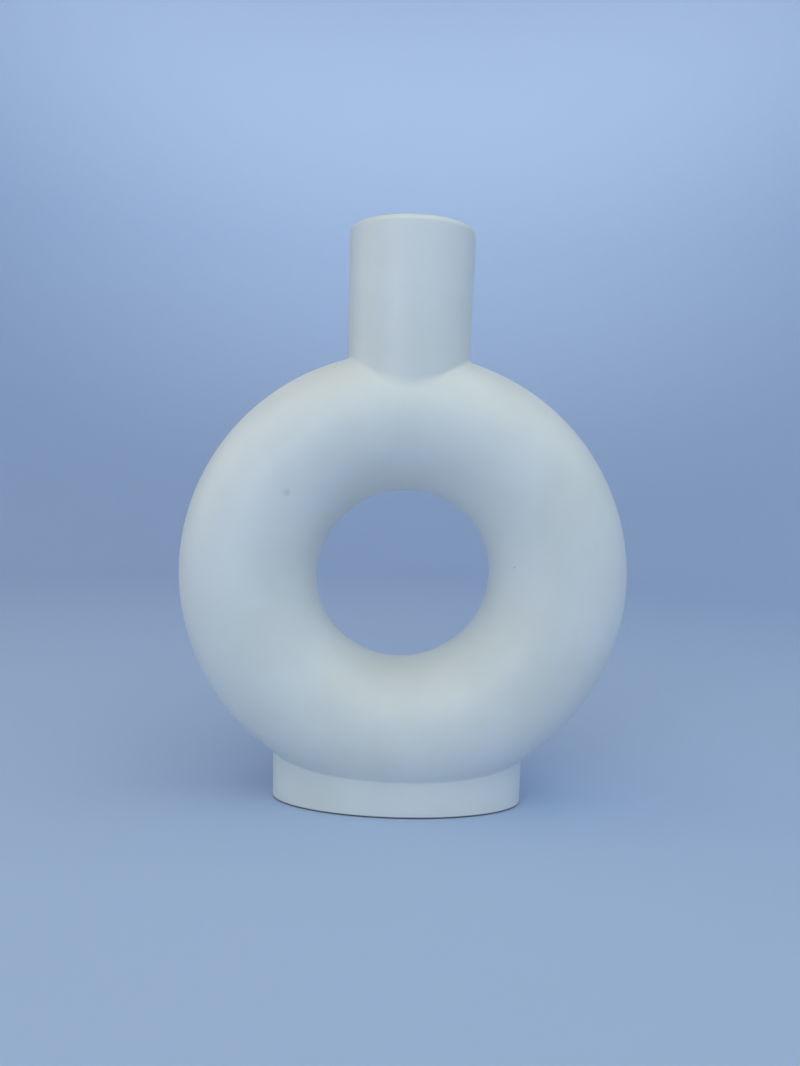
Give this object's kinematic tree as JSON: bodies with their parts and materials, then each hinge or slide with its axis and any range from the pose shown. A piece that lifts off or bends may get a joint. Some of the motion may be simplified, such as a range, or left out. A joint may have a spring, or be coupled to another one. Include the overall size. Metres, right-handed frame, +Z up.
{
  "type": "donut vase",
  "caption": "Hollow ring-shaped ceramic vase that stands on edge, with a round neck on its crown for flower stems and an oval foot ring to rest on.",
  "frame": {"origin": "middle of the foot ring's resting face, on the table under the ring", "axes": "+Z up through the neck, +X across the ring to the viewer's right, +Y through the hole from the front to the back"},
  "size_m": [0.157, 0.0484, 0.2],
  "materials": {
    "matte_white_glaze": "matte glaze",
    "fired_slip": "matte, smoothed"
  },
  "bodies": {
    "root": {"ring_front_half": "matte_white_glaze", "ring_back_half": "matte_white_glaze", "neck": "matte_white_glaze", "foot_ring": "matte_white_glaze", "ring_seam_slip": "fired_slip", "neck_joint_slip": "fired_slip", "foot_joint_slip": "fired_slip"}
  },
  "joints": []
}
